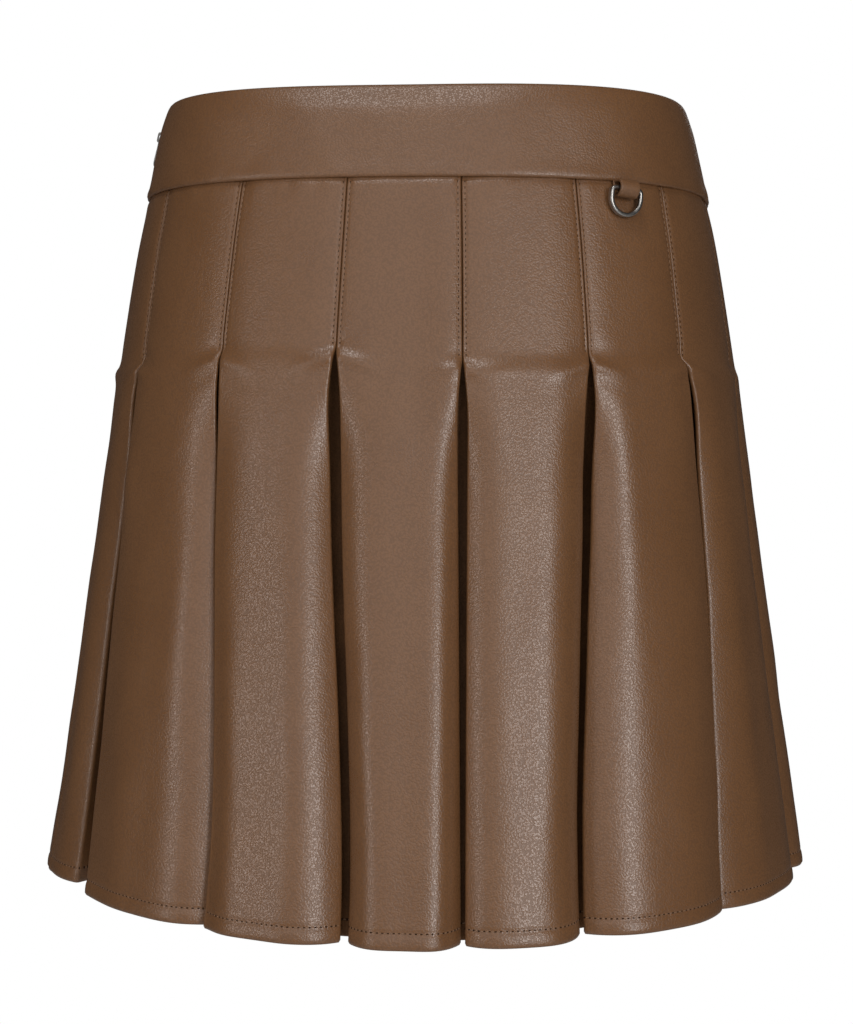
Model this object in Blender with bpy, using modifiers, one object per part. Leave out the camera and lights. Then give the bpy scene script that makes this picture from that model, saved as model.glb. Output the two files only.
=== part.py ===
"""Pleated leather mini skirt in its worn, hollow form.

Frame: metres, +Z up, the front towards -Y. The origin is the centre of the waistband, half way up it.
Sizes below are in millimetres. Heights are measured from the waist seam, where the band meets the pleats.
A place round the skirt is a share: quarters of the way round from the centre front, rising towards +X.
"""

import bisect
import math

import bmesh
import bpy
from mathutils import Matrix, Vector

OBJECT_NAME = "leather_mini_skirt"
MM = 0.001

# Driving dimensions
BAND_HEIGHT = 43.5
SEAM_Z = -BAND_HEIGHT / 2
SKIRT_LENGTH = 331.0
SIDE_LIFT = 10.0  # of the hem at the two sides, where the skirt spreads over the hips
LEATHER = 1.2
SEAM_GAP = 0.3
FOLD_RADIUS = 0.8  # of the leather's middle, so folded layers lie 1.6 mm apart
FOLD_DEPTH = 20.0  # of each pleat, under the face beside it
STITCH_GROOVE = 0.4
BOW_SHAPE = 0.6  # under 1, so a pleat's bow is widest above the middle of its open length
FIRST_OPENING = 45.0  # below the stitching, where a pleat's first width is measured
HALF_DROP = 63.0  # below the stitching, where a face's edge has half of its drop
ZIP_GAP = 1.4
ZIP_TAPE = {"width": 12.0, "thickness": 0.8}

# The outline at each height: half width, depth to the front, depth to the back, and the power of its
# superellipse, 2 for an ellipse and more for squarer sides
SECTIONS = (
    # height, half width, front, back, power
    (-331.0, 187.0, 171.5, 160.0, 1.97),
    (-250.0, 175.5, 155.0, 147.0, 2.02),
    (-150.0, 161.2, 134.5, 131.0, 2.15),
    (-80.0, 150.9, 121.0, 121.0, 2.3),
    (-30.0, 142.8, 111.5, 114.0, 2.45),
    (0.0, 136.6, 106.0, 108.5, 2.55),
    (43.5, 126.4, 96.0, 97.0, 3.0),
)

# The pleats, left side to right side across the front and then round the back. A pleat runs from its place
# at the waist to its place at the hem, bowed aside by up to its bow, all in quarters. It is stitched shut
# down to its stitch length; below that it opens by its half gap, and the face before it and the face
# after it drop back from the outline at their edges.
PLEAT_COLUMNS = ("waist", "hem", "bow", "stitched", "first_gap", "hem_gap", "drop_before", "drop_after", "depth")
PLEATS = (
    # waist, hem, bow, stitched, first_gap, hem_gap, drop_before, drop_after, depth
    (-0.875, -0.885, 0.0, 80.0, 2.5, 6.0, 10.0, 13.0, 18.0),
    (-0.635, -0.618, -0.02, 82.0, 2.8, 10.0, 5.0, 1.0, 18.0),
    (-0.388, -0.306, 0.0, 78.5, 1.2, 1.0, 8.0, 1.5, 17.0),
    (-0.132, -0.065, 0.0, 77.0, 2.8, 2.0, 11.0, 10.0, 18.0),
    (0.125, 0.125, 0.0, 82.5, 2.2, 0.8, 12.0, 8.0, 19.0),
    (0.385, 0.325, 0.0, 80.0, 2.6, 1.5, 11.0, 12.0, 18.0),
    (0.617, 0.594, 0.037, 79.5, 2.2, 1.2, 4.0, 6.0, 17.0),
    (0.875, 0.905, 0.0, 80.0, 2.5, 4.0, 6.0, 10.0, 18.0),
    (1.125, 1.128, 0.0, 81.0, 2.0, 5.0, 9.0, 11.0, 18.0),
    (1.375, 1.370, 0.0, 79.0, 2.6, 2.5, 11.0, 10.0, 18.0),
    (1.625, 1.632, 0.0, 82.0, 2.2, 1.5, 10.0, 12.0, 18.0),
    (1.875, 1.868, 0.0, 78.0, 2.8, 2.0, 12.0, 10.0, 18.0),
    (2.125, 2.131, 0.0, 81.0, 2.4, 3.0, 10.0, 11.0, 18.0),
    (2.375, 2.377, 0.0, 80.0, 2.0, 1.5, 11.0, 9.0, 18.0),
    (2.625, 2.618, 0.0, 82.0, 2.6, 2.5, 12.0, 10.0, 18.0),
    (2.875, 2.869, 0.0, 79.0, 2.2, 5.0, 10.0, 11.0, 18.0),
    (3.125, 3.115, 0.0, 80.0, 2.5, 6.0, 10.0, 13.0, 18.0),
)
LEFT_SIDE, RIGHT_SIDE, LEFT_SIDE_AGAIN = 0, 7, 16

# Where the skirt's section is taken, and the points across one face between its folded edges
SKIRT_HEIGHTS = (-0.3, -25.0, -72.0, -79.0, -85.0, -93.0, -105.0, -127.0, -170.0, -245.0, -SKIRT_LENGTH)
FACE_POINTS = (-0.8, -0.45, 0.0, 0.45, 0.8)
FACE_ROUNDNESS = 2.4

# The band's own section, up the outside and down the inside: height and distance out from the outline
BAND_PROFILE = (
    # height, out
    (0.3, 0.5),
    (1.3, 1.4),
    (5.0, 1.6),
    (22.0, 1.3),
    (41.0, 1.2),
    (43.4, 0.7),
    (44.0, -0.1),
    (43.4, -0.9),
    (41.0, -1.4),
    (22.0, -1.4),
    (3.0, -1.4),
    (0.3, -0.6),
)
BAND_COLUMNS = 30

# The tape's middle line behind the band and the pleat: height and distance out from the outline
TAPE_LINE = (
    # height, out
    (42.0, -2.1),
    (24.0, -2.1),
    (9.0, -2.1),
    (1.5, -5.7),
    (-6.0, -5.7),
    (-40.0, -5.7),
    (-77.0, -5.7),
)

# Ring and its loop: a thick strip bent into a D, hung from a folded strip of leather
RING_SHARE = 0.4915
RING_AXIS = {"height": -4.4, "out": 5.1}
RING_STRIP = {"thickness": 2.0, "width": 3.0}
RING_HALF_WIDTH = 8.4
RING_LEG = 4.4
RING_LEAN = 9.0  # degrees towards the leather, where its lower end rests
RING_TURN = 4.0  # degrees in the leather's plane: the end nearer the centre front is the higher one
LOOP = {"width": 9.6, "inner_radius": 2.9, "top": 3.9, "top_front": -1.5}

# Zip slider and its pull
SLIDER_HEIGHT = 32.0
SLIDER_BODY = {"width": 5.2, "length": 8.0, "thickness": 2.2, "out": -4.0, "edge": 0.5}
BAIL = {"thickness": 0.8, "inner": -3.4, "outer": 4.2, "length": 5.2}
BAIL_HOLE = {"inner": 1.5, "outer": 3.4, "length": 2.8}
PULL_AXIS = {"out": 2.45, "down": 0.6}
PULL = {"thickness": 1.0, "half_bar": 0.5, "shoulder": 2.2, "eye_half_width": 0.9, "eye_end": 3.6}
PULL_DROP = {"length": 11.0, "radius": 2.8}

CURVE_STEP = 8.0  # degrees between the points of a round edge
SLOPE_SPAN = 10.0  # of height, over which the slope of the outline is read

LEATHER_COLOUR = (0.195, 0.107, 0.062, 1.0)
METAL_COLOUR = (0.42, 0.40, 0.37, 1.0)
TAPE_COLOUR = (0.085, 0.048, 0.030, 1.0)


def curve(points, x):
    """The smooth curve through (x, y) points in rising x."""
    last = len(points) - 1
    start = min(max(bisect.bisect_right([p[0] for p in points], x) - 1, 0), last - 1)

    def slope(index):
        low, high = points[max(index - 1, 0)], points[min(index + 1, last)]
        return (high[1] - low[1]) / (high[0] - low[0])

    (x0, y0), (x1, y1) = points[start], points[start + 1]
    step = x1 - x0
    t = (x - x0) / step
    ease_in = t * (1 - t) ** 2 * slope(start) * step
    ease_out = t * t * (t - 1) * slope(start + 1) * step
    return (2 * t + 1) * (1 - t) ** 2 * y0 + t * t * (3 - 2 * t) * y1 + ease_in + ease_out


def eased(t):
    """0 to 1 with level ends."""
    t = min(max(t, 0.0), 1.0)
    return t * t * (3 - 2 * t)


def between(low, high, t):
    return low + (high - low) * t


class Quarter:
    """A quarter superellipse, from its middle at depth to the side at half width, read by its arc length."""

    STEPS = 160

    def __init__(self, half_width, depth, power):
        self.half_width, self.depth, self.power = half_width, depth, power
        self.points = [self.on_curve(math.pi / 2 * step / self.STEPS) for step in range(self.STEPS + 1)]
        self.arcs = [0.0]
        for (x0, y0), (x1, y1) in zip(self.points, self.points[1:]):
            self.arcs.append(self.arcs[-1] + math.hypot(x1 - x0, y1 - y0))
        self.length = self.arcs[-1]

    def on_curve(self, angle):
        across, back = max(math.sin(angle), 0.0), max(math.cos(angle), 0.0)
        return self.half_width * across ** (2 / self.power), self.depth * back ** (2 / self.power)

    def at(self, arc):
        """Point and outward normal, (x, depth, normal x, normal depth)."""
        index = min(max(bisect.bisect_right(self.arcs, arc) - 1, 0), self.STEPS - 1)
        share = (arc - self.arcs[index]) / (self.arcs[index + 1] - self.arcs[index])
        x = between(self.points[index][0], self.points[index + 1][0], share)
        depth = between(self.points[index][1], self.points[index + 1][1], share)
        normal_x = max(x / self.half_width, 0.0) ** (self.power - 1) / self.half_width
        normal_depth = max(depth / self.depth, 0.0) ** (self.power - 1) / self.depth
        size = math.hypot(normal_x, normal_depth)
        return x, depth, normal_x / size, normal_depth / size


class Ring:
    """The outline at one height. An arc is a distance round it from the centre front, rising towards +X."""

    def __init__(self, height):
        half_width, front, back, power = (
            curve([(row[0], row[column]) for row in SECTIONS], height) for column in (1, 2, 3, 4)
        )
        self.height, self.half_width = height, half_width
        self.lift = SIDE_LIFT * (min(height, 0.0) / SKIRT_LENGTH) ** 2
        self.front, self.back = Quarter(half_width, front, power), Quarter(half_width, back, power)
        self.half_round = self.front.length + self.back.length

    def arc(self, share):
        """The arc at a share; past the centre back it goes on rising."""
        if share > 2:
            return 2 * self.half_round - self.arc(4 - share)
        sign = -1.0 if share < 0 else 1.0
        share = abs(share)
        return sign * (min(share, 1.0) * self.front.length + max(share - 1, 0.0) * self.back.length)

    def point(self, arc, out=0.0):
        """The point at an arc, moved out from the outline, in millimetres from the object's origin."""
        arc = (arc + self.half_round) % (2 * self.half_round) - self.half_round
        side = -1.0 if arc < 0 else 1.0
        if abs(arc) <= self.front.length:
            x, depth, normal_x, normal_depth = self.front.at(abs(arc))
            depth, normal_depth = -depth, -normal_depth
        else:
            x, depth, normal_x, normal_depth = self.back.at(self.half_round - abs(arc))
        height = self.height + self.lift * (x / self.half_width) ** 2
        return Vector((side * (x + out * normal_x), depth + out * normal_depth, SEAM_Z + height))


def pleat_at(pleat, ring):
    """The pleat's place and opening at a ring's height: arc, half gap, the two drops and the fold depth."""
    row = dict(zip(PLEAT_COLUMNS, pleat))
    below = max(-ring.height - row["stitched"], 0.0)
    to_hem = below / (SKIRT_LENGTH - row["stitched"])
    first = eased(below / FIRST_OPENING)
    rest = max((below - FIRST_OPENING) / (SKIRT_LENGTH - row["stitched"] - FIRST_OPENING), 0.0)
    gap = between(between(SEAM_GAP, row["first_gap"], first), row["hem_gap"], rest)
    opening = (eased(below / HALF_DROP) + to_hem) / 2
    drops = [between(STITCH_GROOVE, row[side], opening) for side in ("drop_before", "drop_after")]
    share = between(row["waist"], row["hem"], eased(to_hem))
    share += row["bow"] * math.sin(math.pi * to_hem**BOW_SHAPE)
    return ring.arc(share), gap, drops, between(FOLD_DEPTH, row["depth"], to_hem)


def pleat_inside(gap, drops, depth):
    """How far in a pleat's back layer lies. Folding keeps the leather's length, so it sinks as it opens."""
    swing = math.sqrt(depth**2 - max(depth - gap, 0.0) ** 2)
    return max(sum(drops) / 2 + swing, max(drops) + 4 * FOLD_RADIUS)


def half_pleat(gap, drop, depth, inside, start):
    """One side of a pleat, from its back layer round two folds to the face's edge: (along, out)."""
    r = FOLD_RADIUS
    nose = gap + LEATHER / 2
    return [
        (start, -inside),
        (depth - r, -inside),
        (depth, -inside + r),
        (depth - r, -inside + 2 * r),
        (nose + r, -drop - 2 * r),
        (nose, -drop - r),
        (nose + r, -drop),
    ]


def skirt_section(height, first, last):
    """The folded section of the pleats numbered first to last at one height."""
    ring = Ring(height)
    placed = [pleat_at(pleat, ring) for pleat in PLEATS[first : last + 1]]
    points = []
    for index, (arc, gap, (before, after), depth) in enumerate(placed):
        inside = pleat_inside(gap, (before, after), depth)
        if index > 0:
            start = SEAM_GAP / 2 if index == len(placed) - 1 else 0.0
            side = half_pleat(gap, before, depth, inside, start)
            points += [ring.point(arc - along, out) for along, out in reversed(side)]
        if index == len(placed) - 1:
            break
        side = half_pleat(gap, after, depth, inside, SEAM_GAP / 2)
        if index > 0:
            side = side[1:]
        points += [ring.point(arc + along, out) for along, out in side]
        next_arc, next_gap, (next_before, _), _ = placed[index + 1]
        edge = LEATHER / 2 + FOLD_RADIUS
        left, right = arc + gap + edge, next_arc - next_gap - edge
        for share in FACE_POINTS:
            drop = (after if share < 0 else next_before) * abs(share) ** FACE_ROUNDNESS
            points.append(ring.point(between(left, right, (share + 1) / 2), -drop))
    return points


def material(name, colour, roughness, metallic=0.0):
    made = bpy.data.materials.new(name)
    made.use_nodes = True
    shader = made.node_tree.nodes["Principled BSDF"]
    shader.inputs["Base Color"].default_value = colour
    shader.inputs["Roughness"].default_value = roughness
    shader.inputs["Metallic"].default_value = metallic
    return made


def add_object(name, data, finish, collection):
    made = bpy.data.objects.new(name, data)
    data.materials.append(finish)
    collection.objects.link(made)
    return made


def lofted(name, sections, closed):
    """A mesh through sections of equal point count; closed joins each section into a loop and caps the ends."""
    model = bmesh.new()
    rows = [[model.verts.new(point * MM) for point in section] for section in sections]
    count = len(rows[0])
    for upper, lower in zip(rows, rows[1:]):
        for column in range(count if closed else count - 1):
            following = (column + 1) % count
            model.faces.new((lower[column], lower[following], upper[following], upper[column]))
    if closed:
        model.faces.new(rows[0])
        model.faces.new(rows[-1])
        bmesh.ops.recalc_face_normals(model, faces=model.faces)
    mesh = bpy.data.meshes.new(name)
    model.to_mesh(mesh)
    model.free()
    mesh.shade_smooth()
    return mesh


def pleated_panel(name, first, last, finish, collection):
    """The leather of one half of the skirt as an open folded sheet, given its thickness by Solidify."""
    sections = [skirt_section(height, first, last) for height in SKIRT_HEIGHTS]
    panel = add_object(name, lofted(name, sections, closed=False), finish, collection)
    wall = panel.modifiers.new("leather", "SOLIDIFY")
    wall.thickness = LEATHER * MM
    wall.offset = 0.0
    wall.use_even_offset = True
    return panel


def band_half(name, first_share, last_share, end_gaps, finish, collection):
    """One half of the waistband: the band's section carried round the outline."""
    rings = {height: Ring(height) for height, _ in BAND_PROFILE}
    sections = []
    for column in range(BAND_COLUMNS + 1):
        share = column / BAND_COLUMNS
        section = []
        for height, out in BAND_PROFILE:
            ring = rings[height]
            start = ring.arc(first_share) + end_gaps[0]
            end = ring.arc(last_share) - end_gaps[1]
            section.append(ring.point(between(start, end, share), out))
        sections.append(section)
    return add_object(name, lofted(name, sections, closed=True), finish, collection)


def zip_tape(name, side, finish, collection):
    """One tape, from the zip's middle line to its outer edge; side is +1 or -1 along the outline."""
    share = PLEATS[LEFT_SIDE][0]
    half = ZIP_TAPE["thickness"] / 2
    sections = []
    for height, out in TAPE_LINE:
        ring = Ring(height)
        near = ring.arc(share) + side * ZIP_GAP / 2
        far = near + side * ZIP_TAPE["width"]
        corners = ((near, out - half), (far, out - half), (far, out + half), (near, out + half))
        sections.append([ring.point(arc, distance) for arc, distance in corners])
    return add_object(name, lofted(name, sections, closed=True), finish, collection)


def surface_frame(share, height):
    """A frame on the outline: X back along it, Y out of it and Z up it, following the skirt's slope."""
    ring, lower = Ring(height), Ring(height - SLOPE_SPAN)
    here = ring.point(ring.arc(share))
    along = (ring.point(ring.arc(share) - 0.5) - ring.point(ring.arc(share) + 0.5)).normalized()
    up = (here - lower.point(lower.arc(share))).normalized()
    up = (up - along * up.dot(along)).normalized()
    out = up.cross(along)
    return Matrix.Translation(here * MM) @ Matrix((along, out, up)).transposed().to_4x4()


def empty_at(name, matrix, collection):
    made = bpy.data.objects.new(name, None)
    made.empty_display_size = 0.01
    made.matrix_world = matrix
    collection.objects.link(made)
    return made


def arc_points(centre, radius, start, end):
    """Points on an arc in a plane, angles in degrees."""
    steps = math.ceil((end - start) / CURVE_STEP)
    angles = (math.radians(between(start, end, step / steps)) for step in range(steps + 1))
    return [(centre[0] + radius * math.cos(a), centre[1] + radius * math.sin(a)) for a in angles]


def plate(name, outlines, thickness, finish, collection):
    """A flat plate from closed outlines in millimetres, the second one a hole, lying in its own XY plane."""
    outline = bpy.data.curves.new(name, "CURVE")
    outline.dimensions = "2D"
    outline.fill_mode = "BOTH"
    outline.extrude = thickness / 2 * MM
    for points in outlines:
        spline = outline.splines.new("POLY")
        spline.points.add(len(points) - 1)
        for point, (x, y) in zip(spline.points, points):
            point.co = (x * MM, y * MM, 0.0, 1.0)
        spline.use_cyclic_u = True
    return add_object(name, outline, finish, collection)


def d_ring(anchor, finish, collection):
    """The D with its bar on the anchor's X axis, hanging down and leaning back against the leather."""
    half = RING_STRIP["thickness"] / 2
    inner = RING_HALF_WIDTH - RING_STRIP["thickness"]
    outlines = [
        [(RING_HALF_WIDTH, half)]
        + [(-RING_HALF_WIDTH, half)]
        + arc_points((0, -RING_LEG), RING_HALF_WIDTH, 180, 360),
        [(inner, -half)] + [(-inner, -half)] + arc_points((0, -RING_LEG), inner, 180, 360),
    ]
    ring = plate("d_ring", outlines, RING_STRIP["width"], finish, collection)
    ring.parent = anchor
    ring.rotation_euler = (math.pi / 2 - math.radians(RING_LEAN), 0, 0)
    return ring


def ring_loop(anchor, finish, collection):
    """The folded strip round the ring's bar, its two ends meeting just under the waist seam."""
    inner = LOOP["inner_radius"]
    outer = inner + LEATHER
    top, front = LOOP["top"], LOOP["top_front"]
    reach = math.hypot(top, front)
    lean = math.asin(outer / reach) + math.atan2(-front, top)
    apex = inner * math.sin(lean) + (inner * math.cos(lean) + inner) / math.tan(lean)
    turn = math.degrees(lean)
    outlines = [
        [(-outer, top)] + arc_points((0, 0), outer, 180, 360 + turn) + [(front, top)],
        [(-inner, apex)] + arc_points((0, 0), inner, 180, 360 + turn),
    ]
    loop = plate("ring_loop", outlines, LOOP["width"], finish, collection)
    loop.parent = anchor
    loop.matrix_local = Matrix(((0, 0, 1), (1, 0, 0), (0, 1, 0))).to_4x4()
    return loop


def box(name, low, high, collection):
    """A box between two corners, in millimetres."""
    model = bmesh.new()
    bmesh.ops.create_cube(model, size=1.0)
    size = [(b - a) * MM for a, b in zip(low, high)]
    middle = [(a + b) / 2 * MM for a, b in zip(low, high)]
    bmesh.ops.scale(model, vec=size, verts=model.verts)
    bmesh.ops.translate(model, vec=middle, verts=model.verts)
    mesh = bpy.data.meshes.new(name)
    model.to_mesh(mesh)
    model.free()
    made = bpy.data.objects.new(name, mesh)
    collection.objects.link(made)
    return made


def zip_slider(anchor, finish, collection, helpers):
    """The slider's body behind the tapes and the thin bail that passes between them and holds the pull."""
    body = SLIDER_BODY
    low = (-body["width"] / 2, body["out"] - body["thickness"] / 2, -body["length"] / 2)
    high = (body["width"] / 2, body["out"] + body["thickness"] / 2, body["length"] / 2)
    slider = box("zip_slider", low, high, collection)
    slider.data.materials.append(finish)
    edge = slider.modifiers.new("rounded", "BEVEL")
    edge.width = body["edge"] * MM
    edge.segments = 2
    half, reach = BAIL["thickness"] / 2, BAIL["length"] / 2
    hole = BAIL_HOLE["length"] / 2
    cutters = (
        ("bail", "UNION", (-half, BAIL["inner"], -reach), (half, BAIL["outer"], reach)),
        ("bail_hole", "DIFFERENCE", (-reach, BAIL_HOLE["inner"], -hole), (reach, BAIL_HOLE["outer"], hole)),
    )
    for name, operation, lowest, highest in cutters:
        cutter = box(name, lowest, highest, helpers)
        cutter.hide_render = True
        cutter.display_type = "WIRE"
        cutter.parent = anchor
        cut = slider.modifiers.new(name, "BOOLEAN")
        cut.operation = operation
        cut.object = cutter
    slider.parent = anchor
    return slider


def zip_pull(anchor, finish, collection):
    """The drop shaped pull in the anchor's XZ plane, the bar at the top of its eye on the anchor's X axis."""
    bar, shoulder, eye = PULL["half_bar"], PULL["shoulder"], PULL["eye_half_width"]
    radius, centre = PULL_DROP["radius"], -PULL_DROP["length"]
    outlines = [
        [(shoulder, bar), (-shoulder, bar), (-shoulder, -PULL["eye_end"])]
        + arc_points((0, centre), radius, 180, 360)
        + [(shoulder, -PULL["eye_end"])],
        [(eye, -bar), (-eye, -bar), (-eye, -PULL["eye_end"]), (eye, -PULL["eye_end"])],
    ]
    pull = plate("zip_pull", outlines, PULL["thickness"], finish, collection)
    pull.parent = anchor
    pull.rotation_euler = (math.pi / 2, 0, 0)
    return pull


def main():
    for old in list(bpy.data.objects):
        bpy.data.objects.remove(old)
    collection = bpy.data.collections.new(OBJECT_NAME)
    helpers = bpy.data.collections.new("helpers")
    for made in (collection, helpers):
        bpy.context.scene.collection.children.link(made)

    leather = material("brown_leather", LEATHER_COLOUR, 0.42)
    band_leather = material("band_leather", LEATHER_COLOUR, 0.40)
    loop_leather = material("loop_leather", LEATHER_COLOUR, 0.45)
    tape_cloth = material("zip_tape", TAPE_COLOUR, 0.85)
    ring_metal = material("ring_metal", METAL_COLOUR, 0.25, metallic=1.0)
    zip_metal = material("zip_metal", METAL_COLOUR, 0.35, metallic=1.0)

    pleated_panel("skirt_front", LEFT_SIDE, RIGHT_SIDE, leather, collection)
    pleated_panel("skirt_back", RIGHT_SIDE, LEFT_SIDE_AGAIN, leather, collection)

    zip_share, side_share = PLEATS[LEFT_SIDE][0], PLEATS[RIGHT_SIDE][0]
    back_end = PLEATS[LEFT_SIDE_AGAIN][0]
    zip_half, seam_half = ZIP_GAP / 2, SEAM_GAP / 2
    band_half("waistband_front", zip_share, side_share, (zip_half, seam_half), band_leather, collection)
    band_half("waistband_back", side_share, back_end, (seam_half, zip_half), band_leather, collection)

    zip_tape("zip_tape_front", 1, tape_cloth, collection)
    zip_tape("zip_tape_back", -1, tape_cloth, collection)

    on_band = surface_frame(zip_share, SLIDER_HEIGHT)
    zip_anchor = empty_at("zip_anchor", on_band, helpers)
    zip_slider(zip_anchor, zip_metal, collection, helpers)
    pull_place = Vector((0, PULL_AXIS["out"], -PULL_AXIS["down"])) * MM
    pull_anchor = empty_at("pull_axis", on_band @ Matrix.Translation(pull_place), helpers)
    zip_pull(pull_anchor, zip_metal, collection)

    on_face = surface_frame(RING_SHARE, RING_AXIS["height"])
    ring_place = Matrix.Translation(Vector((0, RING_AXIS["out"], 0)) * MM)
    ring_turn = Matrix.Rotation(-math.radians(RING_TURN), 4, "Y")
    ring_anchor = empty_at("ring_axis", on_face @ ring_place @ ring_turn, helpers)
    ring_loop(ring_anchor, loop_leather, collection)
    d_ring(ring_anchor, ring_metal, collection)


main()
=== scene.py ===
"""Looks of the pleated leather mini skirt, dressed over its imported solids.

Sizes are in millimetres until a mesh is made. Heights are measured from the waist seam, where the band meets
the pleats, and a place round the skirt is a share: quarters of the way round from the centre front, rising
towards +X. The leather is worked out as grids of points (rows down the skirt, columns round it).
"""

import math
from collections import namedtuple
from types import SimpleNamespace

import bmesh
import bpy
import numpy as np
from mathutils import Matrix, Vector

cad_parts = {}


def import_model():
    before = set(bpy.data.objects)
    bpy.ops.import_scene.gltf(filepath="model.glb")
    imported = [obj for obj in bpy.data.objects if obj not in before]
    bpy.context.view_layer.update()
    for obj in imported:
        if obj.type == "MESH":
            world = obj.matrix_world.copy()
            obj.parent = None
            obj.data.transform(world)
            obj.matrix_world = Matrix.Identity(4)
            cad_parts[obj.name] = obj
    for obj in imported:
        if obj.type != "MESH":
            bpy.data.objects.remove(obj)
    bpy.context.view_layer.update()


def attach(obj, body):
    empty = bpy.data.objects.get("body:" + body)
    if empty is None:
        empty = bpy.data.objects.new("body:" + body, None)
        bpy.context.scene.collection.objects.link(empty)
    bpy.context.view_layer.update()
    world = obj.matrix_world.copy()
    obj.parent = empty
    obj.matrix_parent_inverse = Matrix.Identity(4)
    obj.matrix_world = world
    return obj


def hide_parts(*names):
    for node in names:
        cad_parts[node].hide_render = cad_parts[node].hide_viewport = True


MM = 0.001

# ---- sizes shared with the construction
BAND_HEIGHT = 43.5
SEAM_Z = -BAND_HEIGHT / 2
SKIRT_LENGTH = 331.0
SIDE_LIFT = 10.0
CAD_LEATHER = 1.2
BOW_SHAPE = 0.6
FOLD_DEPTH = 20.0

# The outline's half width, its depths and how square it is, at heights from the hem to the band's top
Section = namedtuple("Section", "height half_width front back power")
SECTIONS = [
    Section(-331, 187, 171.5, 160, 1.97),
    Section(-250, 175.5, 155, 147, 2.02),
    Section(-150, 161.2, 134.5, 131, 2.15),
    Section(-80, 150.9, 121, 121, 2.3),
    Section(-30, 142.8, 111.5, 114, 2.45),
    Section(0, 136.6, 106, 108.5, 2.55),
    Section(43.5, 126.4, 96, 97, 3),
]

# A pleat's shares at the waist and the hem and its bow between them, its stitched length, its gaps, how far
# the faces before and after it drop towards it at the hem, and its depth there
Pleat = namedtuple("Pleat", "waist hem bow stitched first_gap hem_gap drop_before drop_after depth")
PLEATS = [
    Pleat(-0.875, -0.885, 0, 80, 2.5, 6, 10, 13, 18),
    Pleat(-0.635, -0.618, -0.02, 82, 2.8, 10, 5, 1, 18),
    Pleat(-0.388, -0.306, 0, 78.5, 1.2, 1, 8, 1.5, 17),
    Pleat(-0.132, -0.065, 0, 77, 2.8, 2, 11, 10, 18),
    Pleat(0.125, 0.125, 0, 82.5, 2.2, 0.8, 12, 8, 19),
    Pleat(0.385, 0.325, 0, 80, 2.6, 1.5, 11, 12, 18),
    Pleat(0.617, 0.594, 0.037, 79.5, 2.2, 1.2, 4, 6, 17),
    Pleat(0.875, 0.905, 0, 80, 2.5, 4, 6, 10, 18),
    Pleat(1.125, 1.128, 0, 81, 2, 5, 9, 11, 18),
    Pleat(1.375, 1.37, 0, 79, 2.6, 2.5, 11, 10, 18),
    Pleat(1.625, 1.632, 0, 82, 2.2, 1.5, 10, 12, 18),
    Pleat(1.875, 1.868, 0, 78, 2.8, 2, 12, 10, 18),
    Pleat(2.125, 2.131, 0, 81, 2.4, 3, 10, 11, 18),
    Pleat(2.375, 2.377, 0, 80, 2, 1.5, 11, 9, 18),
    Pleat(2.625, 2.618, 0, 82, 2.6, 2.5, 12, 10, 18),
    Pleat(2.875, 2.869, 0, 79, 2.2, 5, 10, 11, 18),
    Pleat(3.125, 3.115, 0, 80, 2.5, 6, 10, 13, 18),
]
LEFT_SIDE, RIGHT_SIDE, LEFT_SIDE_AGAIN = 0, 7, 16
FACE_ROUNDNESS = 3.4

RING_SHARE = 0.4915
RING_AXIS = {"height": -4.4, "out": 5.1}
RING_STRIP = {"thickness": 2.0, "width": 3.0, "corner": 0.8, "bend": 2.0}
RING_HALF_WIDTH = 8.4
RING_LEG = 4.4
RING_LEAN = 9.0
RING_TURN = 4.0
LOOP = {"width": 9.6, "radius": 3.5, "thickness": 1.2, "top": 4.5}

ZIP_GAP = 1.4
TAPE_WIDTH = 12.0
# How the tapes run behind the closed seam, (height, out)
TAPE_LINE = (
    (42, -2.1), (24, -2.1), (9, -2.1), (1.5, -5.7), (-6, -5.7), (-40, -5.7), (-77, -5.7),
)
SLIDER_HEIGHT = 32.0
SLIDER_OUT = -4.0
SLIDER = {"half_width": 2.6, "reach": 4.0, "waist": 1.9, "corner": 1.0, "thickness": 2.2}
BAIL_THICKNESS = 0.8
BAIL_HOLE = (0.0, 2.45, -0.6)  # from the band's outline at the slider's height to the pull's bar
PULL = {"thickness": 1.0, "half_bar": 0.5, "shoulder": 2.2, "eye_half_width": 0.9, "eye_end": 3.6}
PULL_DROP = {"length": 11.0, "radius": 2.8}

# ---- sizes of the finer form
LEATHER = 0.9
LEATHER_OUT = (CAD_LEATHER - LEATHER) / 2
STITCHED_FOLD = 0.5  # radius of the leather's middle in the pressed folds above the release
HEM_FOLD = {"outer": 1.35, "inner": 1.3}  # the same at the hem, where the folds stand open
FOLD_GROWTH = {"outer": 70.0, "inner": 90.0}  # how far below the stitching the folds have most of that
EARLY_GROWTH = 0.7  # the outer fold's share of it there; the rest comes evenly down to the hem
STITCHED = {"gap": 0.12, "drop": 0.3}  # how a pleat stands where it is stitched
FIRST_OPENING = 30.0  # below the stitching, where a pleat has its first gap
OPENING_SHAPE = 1.9
HALF_DROP = 63.0
UNDERLAY_SAG = 4.0  # how much further in the soft underlay hangs
SAG_LENGTH = 60.0
SEWN_GAP = 0.03  # what stays between the panels' edges where a side seam draws them together
FLAP_RELIEF = 0.6  # the share of a face's relief that reaches the edge of the flap behind it
EDGE_CROWDING = 0.55
HEM_TURN = 6.6  # from the edge to the hem's row of stitches
HEM_ALLOWANCE = {"height": 8.0, "thickness": 0.8, "step": 1.5}
HEM_EDGE = {"height": 0.8, "rounding": 0.5}
STITCH_ROW = {"from_seam": 1.6, "top": 2.2, "bottom": 3.5, "pitch": 2.6}
HEM_PITCH = 2.35
HOLE = {"long": 0.72, "wide": 0.6, "sides": 8}
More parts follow.
